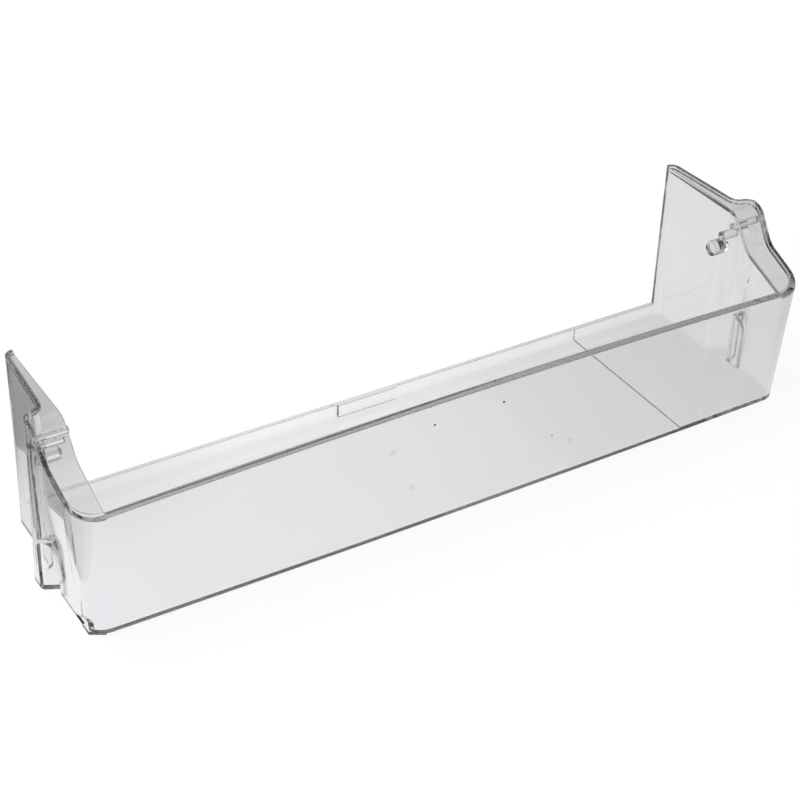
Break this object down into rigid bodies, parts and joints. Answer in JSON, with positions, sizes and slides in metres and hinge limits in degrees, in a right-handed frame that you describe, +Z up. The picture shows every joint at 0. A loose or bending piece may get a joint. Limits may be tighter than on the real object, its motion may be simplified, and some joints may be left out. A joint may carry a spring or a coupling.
{
  "type": "fridge door shelf",
  "caption": "Long clear door tray with a leaning front wall, high hooded side wings, studs inside them and hanging slots outside; holds bottles and jars on a fridge door.",
  "frame": {"origin": "middle of the flat underside, under the centre of the overall box", "axes": "+X along the length to the right hand seen from the front, +Y from the front wall to the back, +Z up"},
  "size_m": [0.47, 0.1206, 0.11],
  "materials": {
    "clear_plastic": "clear, polished, faintly grey"
  },
  "bodies": {
    "root": {"door_shelf": "clear_plastic"}
  },
  "joints": []
}
